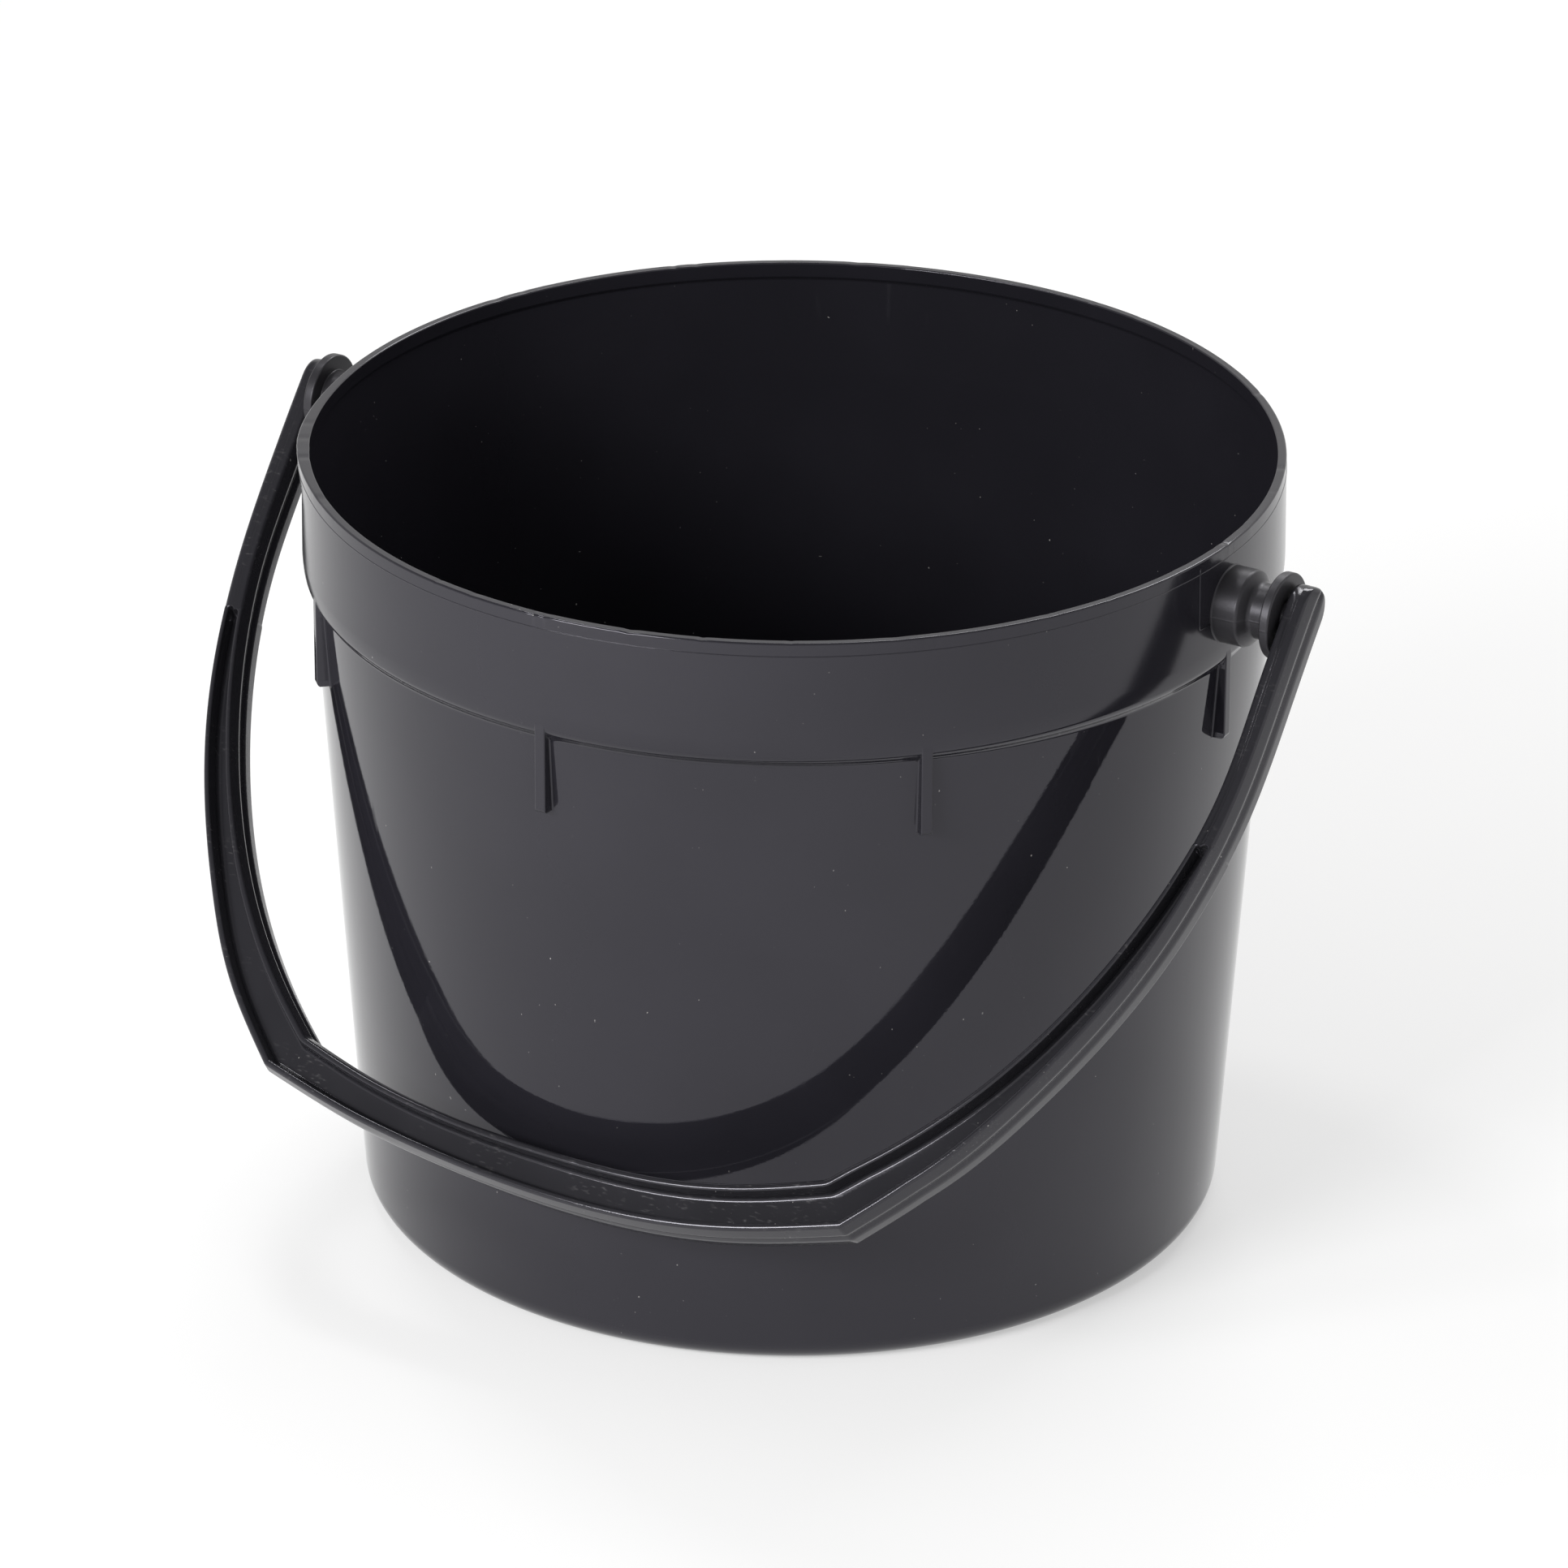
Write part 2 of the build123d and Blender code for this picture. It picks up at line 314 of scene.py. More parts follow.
def rounded(points, radii, steps=5, closed=False):
    """Points of a polyline with its corners rounded.

    points is a list of arrays (..., dims), one per corner; each corner is cut back by its radius and
    joined by a smooth arc of steps + 1 points.
    """
    count = len(points)
    result = []
    for i, (corner, radius) in enumerate(zip(points, radii)):
        if not closed and i in (0, count - 1):
            result.append(corner)
            continue
        before = points[i - 1] - corner
        after = points[(i + 1) % count] - corner
        size_b = np.linalg.norm(before, axis=-1, keepdims=True)
        size_a = np.linalg.norm(after, axis=-1, keepdims=True)
        cut = np.minimum(radius, np.minimum(size_b, size_a) * 0.45)
        start = corner + before / np.maximum(size_b, 1e-9) * cut
        end = corner + after / np.maximum(size_a, 1e-9) * cut
        for t in np.linspace(0, 1, steps + 1):
            weight = 2 * t * (1 - t) * 0.83
            share = 1 - weight
            a = (1 - t) ** 2 / ((1 - t) ** 2 + t ** 2)
            result.append(corner * weight + (start * a + end * (1 - a)) * share)
    return result


def rounded_outline(outline, steps):
    """Points of an outline given as (corner, rounding) pairs."""
    return rounded([np.array(corner) for corner, _ in outline], [size for _, size in outline], steps)


def smooth_step(x):
    """0 below 0 and 1 above 1, with a smooth rise between."""
    x = np.clip(x, 0, 1)
    return x * x * (3 - 2 * x)


# ---------------------------------------------------------------- meshes

def grid_faces(rows, cols, wrap_cols, offset=0):
    """Quads of a grid of points, in rows."""
    faces = []
    last = cols if wrap_cols else cols - 1
    for r in range(rows - 1):
        for c in range(last):
            d = (c + 1) % cols
            faces.append((offset + r * cols + c, offset + r * cols + d,
                          offset + (r + 1) * cols + d, offset + (r + 1) * cols + c))
    return faces


def shell(rings, start=None, end=None):
    """(points, faces) of closed rings joined in order, closed by a fan at each end."""
    rings = np.asarray(rings)
    count, cols = rings.shape[:2]
    points = list(rings.reshape(-1, 3))
    faces = grid_faces(count, cols, True)
    for pole, row in ((start, 0), (end, count - 1)):
        if pole is None:
            continue
        points.append(np.asarray(pole, float))
        tip = len(points) - 1
        for c in range(cols):
            a, b = row * cols + c, row * cols + (c + 1) % cols
            faces.append((tip, b, a) if row == 0 else (tip, a, b))
    return points, faces


def make_object(name, shells, materials):
    """One object from (shell, material number) pairs, smooth, with normals that keep its flats flat."""
    points, faces, looks = [], [], []
    for (more_points, more_faces), look in shells:
        base = len(points)
        points += [tuple(np.asarray(p) * MM) for p in more_points]
        faces += [tuple(base + i for i in f) for f in more_faces]
        looks += [look] * len(more_faces)
    mesh = bpy.data.meshes.new(name)
    mesh.from_pydata(points, [], faces)
    mesh.polygons.foreach_set("use_smooth", [True] * len(mesh.polygons))
    obj = bpy.data.objects.new(name, mesh)
    bpy.context.scene.collection.objects.link(obj)
    bpy.context.view_layer.objects.active = obj
    obj.select_set(True)
    bpy.ops.object.mode_set(mode="EDIT")
    bpy.ops.mesh.select_all(action="SELECT")
    bpy.ops.mesh.normals_make_consistent(inside=False)
    bpy.ops.object.mode_set(mode="OBJECT")
    obj.select_set(False)
    obj.modifiers.new("flat_normals", "WEIGHTED_NORMAL").weight = 80
    for material in materials:
        obj.data.materials.append(material)
    obj.data.polygons.foreach_set("material_index", looks)
    return obj


# ---------------------------------------------------------------- tub

def wall_r(z):
    """Outer radius of the tapered wall."""
    return WALL_R_FOOT + (WALL_R_BAND - WALL_R_FOOT) * z / BAND_FOOT_Z


def between(start, end, count):
    """Points between two corners, without the corners."""
    shares = np.linspace(0, 1, count + 2)[1:-1]
    return [np.array(start) * (1 - s) + np.array(end) * s for s in shares]


def tub_profile():
    """(radius, z) points from the middle of the underside, up the outside, and down to the floor."""
    witness_z = HEIGHT - WITNESS_DROP
    outline = [((MIDDLE_R, FOOT_RECESS), 0), ((FOOT_RECESS_R, FOOT_RECESS), 0.5),
               ((FOOT_RECESS_R + FOOT_RECESS, 0), 0.4), ((wall_r(0) - 0.1, 0), FOOT_ROUND),
               ((WALL_R_BAND, BAND_FOOT_Z), 0.7),
               ((BAND_R - BAND_BEND_IN, BAND_FOOT_Z + BAND_BEND_H), 1.4),
               ((BAND_R, BAND_FOOT_Z + BAND_FOOT_H), 2.2),
               ((WITNESS_R, witness_z - WITNESS_W), 0.03), ((WITNESS_R + WITNESS_RISE, witness_z), 0.06),
               ((WITNESS_R, witness_z + WITNESS_W), 0.03),
               ((RIM_R, HEIGHT), 0.45), ((LIP_R, HEIGHT), 0.35), ((LIP_R, HEIGHT - LIP_H), 0.3),
               ((wall_r(HEIGHT) - WALL_T, HEIGHT - LIP_H - LIP_SLOPE_H), 0.4),
               ((wall_r(FLOOR_Z) - WALL_T, FLOOR_Z), FLOOR_ROUND), ((MIDDLE_R, FLOOR_Z), 0)]
    points = rounded_outline(outline, 6)
    result = []
    for a, b in zip(points, points[1:]):
        result.append(a)
        result += between(a, b, int(np.linalg.norm(b - a) / PROFILE_STEP))
    return np.array(result + [points[-1]])


def tub_rows():
    """The tub's profile, with closer rows on the outside where the fins are."""
    profile = tub_profile()
    top = int(np.argmax(profile[:, 1]))
    by_fin_foot = np.arange(FIN_FOOT_Z - 0.5, FIN_FOOT_Z + 1.6, 0.1)
    up_the_fin = np.arange(FIN_FOOT_Z + 3, BAND_FOOT_Z, 2.5)
    outside = np.array([[wall_r(z), z] for z in np.concatenate([by_fin_foot, up_the_fin])])
    wall_end = int(np.argmax(profile[:top, 1] > 100))
    band_start = int(np.argmax(profile[:top, 1] > BAND_FOOT_Z - 1.2))
    before = profile[:band_start]
    before = before[(before[:, 1] < FIN_FOOT_Z - 1) | (np.arange(band_start) < wall_end)]
    return np.concatenate([before, outside, profile[band_start:]])


def fin_rise(distance, height, edge):
    """How far a fin stands out at a distance outside (+) or inside (-) its side."""
    inside = np.clip(-distance, 0, edge)
    top = height - edge + np.sqrt(np.maximum(edge ** 2 - (edge - inside) ** 2, 0))
    root = np.clip(distance, 0, FIN_ROOT)
    foot = FIN_ROOT - np.sqrt(np.maximum(FIN_ROOT ** 2 - (FIN_ROOT - root) ** 2, 0))
    return np.where(distance <= 0, top, foot)


def ripple(angle, z):
    """Slow unevenness of the moulded wall, a sum of waves round it and up it."""
    source = np.random.default_rng(RIPPLE_SEED)
    total = np.zeros(np.broadcast(angle, z).shape)
    for _ in range(RIPPLE_WAVES):
        around = source.integers(*RIPPLE_AROUND)
        up = source.uniform(*RIPPLE_UP)
        phase = source.uniform(0, 2 * math.pi, 2)
        total = total + np.sin(around * angle + phase[0]) * np.sin(up * z + phase[1]) / math.sqrt(around)
    return total * RIPPLE_SIZE / 3


def tub_angles():
    """Angles round the tub, closer together at the sides of each fin."""
    near = np.array(sorted({s * d for d in FIN_COLUMNS for s in (-1, 1)})) / wall_r(FIN_MID_Z)
    clear = near[-1] * FIN_CLEARANCE
    angles = [np.linspace(0, 2 * math.pi, WALL_COLUMNS, endpoint=False)]
    pitch = 2 * math.pi / FIN_COUNT
    for i in range(FIN_COUNT):
        angles[0] = angles[0][np.abs(angles[0] - i * pitch) > clear]
        angles.append(i * pitch + near)
    merged = np.concatenate(angles)
    merged = merged[np.abs(merged - 2 * math.pi) > clear]
    return np.unique(np.round(np.mod(merged, 2 * math.pi), 8))


def fin_radius(angles, z):
    """Radius of the stacking fins at each angle and height."""
    pitch = 2 * math.pi / FIN_COUNT
    side = (np.mod(angles + pitch / 2, pitch) - pitch / 2) * wall_r(FIN_MID_Z)
    across = np.abs(side)[None, :] - FIN_HALF_T
    below = FIN_FOOT_Z - z
    height = FIN_R - wall_r(z)
    rise = np.minimum(fin_rise(across, height, FIN_EDGE), fin_rise(below, height, FIN_FOOT_EDGE))
    return wall_r(z) + rise


def rim_flaws(angles):
    """Small nicks and flash along the rim, as offsets (outwards, upwards)."""
    source = np.random.default_rng(FLAW_SEED)
    out = np.zeros(len(angles))
    up = np.zeros(len(angles))
    for _ in range(FLAWS):
        centre = source.uniform(0, 2 * math.pi)
        width = source.uniform(*FLAW_W)
        swell = np.exp(-((np.mod(angles - centre + math.pi, 2 * math.pi) - math.pi) / width) ** 2)
        out += swell * source.uniform(*FLAW_OUT)
        up += swell * source.uniform(*FLAW_UP)
    return out, up


def rim_flare(angles, z):
    """Share of the rim's bulge at each angle and height, 0 to 1."""
    around = np.exp(-((angles - FLARE_AT) / FLARE_W) ** 2)
    return around * smooth_step((z - HEIGHT + FLARE_H) / FLARE_H)


def tub_shell():
    """Wall, band, fins, rim and floor, without the spools."""
    profile = tub_rows()
    top = int(np.argmax(profile[:, 1]))
    rows = np.arange(len(profile))[:, None]
    angles = tub_angles()
    radius = np.repeat(profile[:, :1], len(angles), axis=1)
    z = np.repeat(profile[:, 1:], len(angles), axis=1)
    finned = (rows < top) & (z > FIN_FOOT_Z - 1) & (z < BAND_FOOT_Z + 3)
    radius = np.where(finned, np.maximum(radius, fin_radius(angles, z)), radius)
    on_wall = smooth_step((z - RIPPLE_FROM_Z) / RIPPLE_RUN) * (radius > RIPPLE_MIN_R)
    radius = radius + ripple(angles[None, :], z) * on_wall * np.where(rows < top, 1, 0.5)
    rim = smooth_step((z - HEIGHT + FLAW_H) / FLAW_H)
    flaws_out, flaws_up = rim_flaws(angles)
    radius = radius + rim * flaws_out
    z = z + rim * flaws_up
    radius = radius + rim_flare(angles, z) * np.where(rows <= top, FLARE_OUT, FLARE_IN)
    rings = np.stack([radius * np.cos(angles), radius * np.sin(angles), z], axis=-1)
    return shell(rings, start=(0, 0, FOOT_RECESS), end=(0, 0, FLOOR_Z))


def band_r(z):
    """Outer radius of the band above its rounded foot."""
    foot = BAND_FOOT_Z + BAND_FOOT_H
    return BAND_R + (RIM_R - BAND_R) * (z - foot) / (HEIGHT - foot)


def insert_line(side, start, end):
    """Fine raised line on the band from start to end, both (across, z), left by a mould insert."""
    start, end = np.asarray(start, float), np.asarray(end, float)
    along = (end - start) / np.linalg.norm(end - start)
    wide = np.array([-along[1], along[0]]) * INSERT_LINE_W / 2
    spots = [start + (end - start) * share for share in np.linspace(0, 1, 12)]
    centres = np.array([(math.sqrt(band_r(z) ** 2 - y ** 2), y, z) for y, z in spots])
    turn = np.linspace(0, 2 * math.pi, 8, endpoint=False)
    ring = np.stack([INSERT_LINE_H * np.sin(turn), wide[0] * np.cos(turn), wide[1] * np.cos(turn)], axis=-1)
    place = np.array([side, side, 1])
    rings = (centres[:, None, :] + ring[None, :, :]) * place
    return shell(rings, start=centres[0] * place, end=centres[-1] * place)


def spool_shell(side):
    """Boss, neck, disc and blind bore, with a fillet where the boss leaves the band."""
    near = np.array(PARTING_COLUMNS)
    angles = np.linspace(0, 2 * math.pi, SPOOL_COLUMNS, endpoint=False)
    extra = [base + s * near for base in (0, math.pi) for s in (-1, 1)]
    angles = np.unique(np.round(np.mod(np.concatenate([angles, *extra]), 2 * math.pi), 6))
    distance = np.abs(np.mod(angles + math.pi / 2, math.pi) - math.pi / 2)
    rings = []

    def band_x(r):
        y = r * np.cos(angles)
        z = PIVOT_Z + r * np.sin(angles)
        return np.sqrt(band_r(z) ** 2 - y ** 2)

    def ring(x, r, parting=True):
        r = r + (PARTING_H * np.exp(-(distance * r / PARTING_W) ** 2) if parting else 0)
        rings.append(np.stack([side * (x + 0 * angles), r * np.cos(angles),
                               PIVOT_Z + r * np.sin(angles)], axis=-1))

    root_r = BOSS_R + BOSS_ROOT
    ring(SPOOL_START_X, 5.0, False)
    ring(SPOOL_START_X, root_r, False)
    ring(band_x(root_r + 0.05) - 0.1, root_r + 0.05, False)
    for turn in np.linspace(0, math.pi / 2, 7):
        r = BOSS_R + BOSS_ROOT * (1 - math.sin(turn))
        ring(band_x(r) + BOSS_ROOT * (1 - math.cos(turn)), r, turn > 1)
    bore = False
    for x, r in rounded_outline(SPOOL_OUTLINE, 5):
        bore = bore or (x > BORE_MOUTH[0] and r < BORE_MOUTH[1])
        ring(x, r, not bore)
    return shell(rings, start=(side * SPOOL_START_X, 0, PIVOT_Z), end=(side * BORE_END_X, 0, PIVOT_Z))


# ---------------------------------------------------------------- bail

ARM_OUT = Spline([r for _, r in ARM_OUTER], [a for a, _ in ARM_OUTER])
ARM_IN = Spline([r for _, r in ARM_INNER], [a for a, _ in ARM_INNER])


def symmetric(points):
    """Spline reach(across) through the grip's points and their mirror image."""
    mirrored = [(-a, r) for a, r in points if a > 0]
    both = sorted(mirrored + points)
    return Spline([a for a, _ in both], [r for _, r in both])


GRIP_OUT = symmetric(GRIP_OUTER)
GRIP_IN = symmetric(GRIP_INNER)


def arm_point(arm, reach, offset):
    """Point beside an arm's edge curve, offset outwards."""
    slope = arm.slope(reach)
    size = np.sqrt(1 + slope ** 2)
    return np.stack([arm(reach) + offset / size, reach - offset * slope / size], axis=-1)


def grip_point(grip, across, offset):
    """Point beside a grip's edge curve, offset outwards."""
    slope = grip.slope(across)
    size = np.sqrt(1 + slope ** 2)
    return np.stack([across - offset * slope / size, grip(across) + offset / size], axis=-1)


def corner_fillet(arm, grip, offset, radius):
    """(reach on the arm, across on the grip, centre) of the fillet between two offset curves."""

    def gap(spot):
        return arm_point(arm, spot[0], offset - radius) - grip_point(grip, spot[1], offset - radius)

    guess = np.array(CORNER_GUESS)
    step = 1e-4
    for _ in range(30):
        here = gap(guess)
        slopes = [(gap(guess + move) - here) / step for move in ([step, 0], [0, step])]
        guess = guess - np.clip(np.linalg.solve(np.stack(slopes, axis=1), here), -5, 5)
    return guess[0], guess[1], arm_point(arm, guess[0], offset - radius)


def ridge_share(reach):
    """The ridge beside the channel is thinner where the arm is thin."""
    span = (reach - RIDGE_THIN_REACH) / (RIDGE_FULL_REACH - RIDGE_THIN_REACH)
    return THIN_RIDGE + (1 - THIN_RIDGE) * np.clip(span, 0, 1)


def arm_stations():
    """Reaches of the sections along an arm, closer together where the channel starts."""
    radius = BAIL_T / 2
    turn = np.linspace(math.radians(4), math.pi / 2, END_STEPS)
    end = radius - ARM_END - radius * np.cos(turn)
    channel = CHANNEL_START + np.array(CHANNEL_STEPS)
    return np.concatenate([end, np.arange(*COARSE_STATIONS), channel, np.arange(*FINE_STATIONS)])


def half_width(reach):
    """Half of an arm's width, square to its edges."""
    return (ARM_OUT(reach) - ARM_IN(reach)) / 2 / np.sqrt(1 + ARM_OUT.slope(reach) ** 2)


def edge_curve(arm, grip, sense, offset, radius):
    """One long edge of the bail, as (across, reach) points from one arm's end to the other's.

    sense is +1 on the outer side and -1 on the inner side; offset is outwards, a number or a function
    of reach; radius is the fillet's at the corners.
    """
    stations = arm_stations()
    offset_of = offset if callable(offset) else (lambda reach: offset + 0 * reach)
    fixed = float(offset_of(np.array(GRIP_REACH)))
    reach_t, across_t, centre = corner_fillet(arm, grip, fixed, radius)
    lean = -np.sin(np.arctan(ARM_OUT.slope(stations))) * smooth_step((stations - SLANT_FROM) / SLANT_RUN)
    reach = stations + sense * half_width(stations) * lean
    share = smooth_step((stations - BLEND_REACH) / (stations[-1] - BLEND_REACH))
    reach = reach + (reach_t - reach[-1]) * share
    on_arm = arm_point(arm, reach, offset_of(reach))
    from_arm = arm_point(arm, reach_t, 1.0) - arm_point(arm, reach_t, 0.0)
    from_grip = grip_point(grip, across_t, 1.0) - grip_point(grip, across_t, 0.0)
    a = math.atan2(from_arm[1], from_arm[0])
    b = math.atan2(from_grip[1], from_grip[0])
    turn = np.linspace(a, b, CORNER_STEPS + 2)[1:-1]
    arc = centre + radius * np.stack([np.cos(turn), np.sin(turn)], axis=-1)
    across = across_t * (1 - np.linspace(0, 1, GRIP_STEPS))
    on_grip = grip_point(grip, across, fixed)
    half = np.concatenate([on_arm, arc, on_grip])
    return np.concatenate([half, half[-2::-1] * [-1, 1]])


def channel_inset(reach, thickness):
    """How far the channel's edge lies inside the bail's edge, down to a gap of CHANNEL_GAP at its end."""
    ridge = thickness * ridge_share(reach)
    beyond = np.clip(reach - CHANNEL_START, 0, CHANNEL_END_R)
    cap = CHANNEL_GAP + np.sqrt(np.maximum(CHANNEL_END_R ** 2 - (CHANNEL_END_R - beyond) ** 2, 0))
    cap = np.where(reach > CHANNEL_START + CHANNEL_END_R, math.inf, cap)
    return np.maximum(ridge, half_width(np.minimum(reach, WIDTH_REACH)) - cap)


def lifted(curve, height):
    """(across, reach, height) points of a curve at a height above the bail's mid plane."""
    return np.concatenate([curve, np.broadcast_to(np.asarray(height), (len(curve),))[:, None]], axis=1)


def edge_pair(offset, corners):
    """The outer and the inner edge of the bail, each moved away from its middle by offset."""
    minus = (lambda reach: -offset(reach)) if callable(offset) else -offset
    outer = edge_curve(ARM_OUT, GRIP_OUT, 1, offset, corners[0])
    return outer, edge_curve(ARM_IN, GRIP_IN, -1, minus, corners[1])


def section_reaches():
    """Reach of each section, with every section of the corners and the grip at GRIP_REACH."""
    stations = arm_stations()
    half = np.concatenate([stations, np.full(CORNER_STEPS + GRIP_STEPS, GRIP_REACH)])
    return np.concatenate([half, half[-2::-1]])


def section_corners(half_t, bed):
    """(points, rounding) of each corner of the sections: front first, then back, all the way round.

    half_t is the height of the faces and bed that of the channel's floor, one value per section.
    """
    mouth = edge_pair(lambda reach: -channel_inset(reach, RIDGE_T), MOUTH_CORNERS)
    floor = edge_pair(lambda reach: -channel_inset(reach, RIDGE_T_DEEP), BED_CORNERS)
    seam = np.minimum(SEAM_H, half_t * 0.2)
    corners = []
    for sense, face_edge, swell_edge, cut in ((1, FRONT_FACE, FRONT_SWELL, FRONT_ROUND),
                                              (-1, BACK_FACE, BACK_SWELL, BACK_ROUND)):
        face, swell, parting = (edge_pair(*edge) for edge in (face_edge, swell_edge, PARTING))
        rows = [(parting, seam, SEAM_ROUND), (swell, half_t * SWELL_SHARE, SWELL_ROUND),
                (face, half_t, cut), (mouth, half_t, MOUTH_ROUND), (floor, bed, BED_ROUND)]
        side = [(lifted(edge[0], sense * height), size) for edge, height, size in rows]
        side += [(lifted(edge[1], sense * height), size) for edge, height, size in reversed(rows)]
        corners += side[::sense]
    return corners


def bail_sections():
    """Closed sections of the bail from one arm's end to the other's, and the middle of each."""
    reach = section_reaches()
    from_centre = np.clip(BAIL_T / 2 - ARM_END - reach, 0, BAIL_T / 2)
    half_t = np.sqrt(np.maximum((BAIL_T / 2) ** 2 - from_centre ** 2, 0.01))
    deep = np.clip((reach - CHANNEL_START) / CHANNEL_RUN, 0, 1)
    bed = half_t - CHANNEL_DEPTH * np.sqrt(1 - (1 - deep) ** 2)
    corners = section_corners(half_t, bed)
    centre = sum(points for points, _ in corners) / len(corners)
    result = rounded([points for points, _ in corners], [size for _, size in corners], steps=4, closed=True)
    result = np.stack(result, axis=1)
    tip = np.clip(ARM_TIP_ROUND - (reach + ARM_END), 0, ARM_TIP_ROUND)
    tuck = ARM_TIP_ROUND - np.sqrt(ARM_TIP_ROUND ** 2 - tip ** 2)
    shrink = 1 - tuck / (half_width(np.minimum(reach, WIDTH_REACH)) + 0.3)
    result[:, :, 0] = centre[:, None, 0] + (result[:, :, 0] - centre[:, None, 0]) * shrink[:, None]
    return result, centre


def warped(points):
    """Flat bail points (across, reach, height) with this bail's side play and warp."""
    across, reach, height = np.moveaxis(np.asarray(points, float), -1, 0)
    turn = WARP * np.clip(reach, 0, None) / WARP_REACH
    lean = SIDE_PLAY + SIDE_LEAN * smooth_step(reach / LEAN_REACH)
    to_right = smooth_step((across - SPREAD_START) / SPREAD_RUN)
    reach = reach + SPREAD * np.clip(reach - SPREAD_FROM, 0, None) * to_right
    return np.stack([across * np.cos(turn) - reach * np.sin(turn) + lean,
                     across * np.sin(turn) + reach * np.cos(turn), height], axis=-1)


def hung(points):
    """Flat bail points (across, reach, height) placed on the pivot line at rest."""
    across, reach, height = np.moveaxis(np.asarray(points, float), -1, 0)
    sin, cos = math.sin(REST_TILT), math.cos(REST_TILT)
    return np.stack([across, -reach * sin - height * cos, PIVOT_Z - reach * cos + height * sin], axis=-1)


def bail_shell():
    """The bail as it hangs at rest, without its pegs."""
    rings, centre = bail_sections()
    tips = hung(warped([[c[0], -ARM_END, 0] for c in (centre[0], centre[-1])]))
    return shell(hung(warped(rings)), start=tips[0], end=tips[1])


def peg_shell(side):
    """Snap peg from an arm's inner side."""
    angles = np.linspace(0, 2 * math.pi, PEG_COLUMNS, endpoint=False)
    rings = [np.stack([side * x + SIDE_PLAY + 0 * angles, r * np.cos(angles), PIVOT_Z + r * np.sin(angles)],
                      axis=-1) for x, r in rounded_outline(PEG_OUTLINE, 3)]
    start, end = ((side * x + SIDE_PLAY, 0, PIVOT_Z) for x in PEG_X)
    return shell(rings, start=start, end=end)


# ---------------------------------------------------------------- materials

def new_material(name):
    """(material, nodes, links, shader) of a new material."""
    material = bpy.data.materials.new(name)
    material.use_nodes = True
    nodes = material.node_tree.nodes
    return material, nodes, material.node_tree.links, nodes["Principled BSDF"]


def noise(nodes, links, where, scale, detail=2.0, rough=0.5, stretch=None):
    """Noise texture in object space, in cycles per metre, stretched if asked."""
    texture = nodes.new("ShaderNodeTexNoise")
    texture.inputs["Scale"].default_value = scale
    texture.inputs["Detail"].default_value = detail
    texture.inputs["Roughness"].default_value = rough
    if stretch:
        mapping = nodes.new("ShaderNodeMapping")
        mapping.inputs["Scale"].default_value = stretch
        links.new(where, mapping.inputs["Vector"])
        where = mapping.outputs["Vector"]
    links.new(where, texture.inputs["Vector"])
    return texture.outputs["Fac"]


def ramp(nodes, links, source, low, high, start, end):
    """Maps source from low..high to start..end, clamped."""
    node = nodes.new("ShaderNodeMapRange")
    for name, value in (("From Min", low), ("From Max", high), ("To Min", start), ("To Max", end)):
        node.inputs[name].default_value = value
    links.new(source, node.inputs["Value"])
    return node.outputs["Result"]


def combine(nodes, links, kind, a, b):
    """Math node of the given kind between two outputs or numbers."""
    node = nodes.new("ShaderNodeMath")
    node.operation = kind
    for socket, value in zip(node.inputs, (a, b)):
        if isinstance(value, (int, float)):
            socket.default_value = value
        else:
            links.new(value, socket)
    return node.outputs["Value"]


def mix_colour(nodes, links, share, a, b):
    """Colour between a and b, each a colour or an output."""
    node = nodes.new("ShaderNodeMix")
    node.data_type = "RGBA"
    links.new(share, node.inputs[0])
    for socket, value in ((node.inputs[6], a), (node.inputs[7], b)):
        if isinstance(value, tuple):
            socket.default_value = (*value, 1)
        else:
            links.new(value, socket)
    return node.outputs[2]


def bump(nodes, links, heights, shader):
    """Chains (height output, distance in metres) into the shader's normal."""
    normal = None
    for height, distance in heights:
        node = nodes.new("ShaderNodeBump")
        node.inputs["Distance"].default_value = distance
        links.new(height, node.inputs["Height"])
        if normal:
            links.new(normal, node.inputs["Normal"])
        normal = node.outputs["Normal"]
    links.new(normal, shader.inputs["Normal"])


def fine_marks(nodes, links, where, stretch, scale, low, high):
    """Thin marks along one direction, 0 to 1."""
    lines = noise(nodes, links, where, scale, 1.0, 0.4, stretch)
    return ramp(nodes, links, lines, low, high, 0, 1)


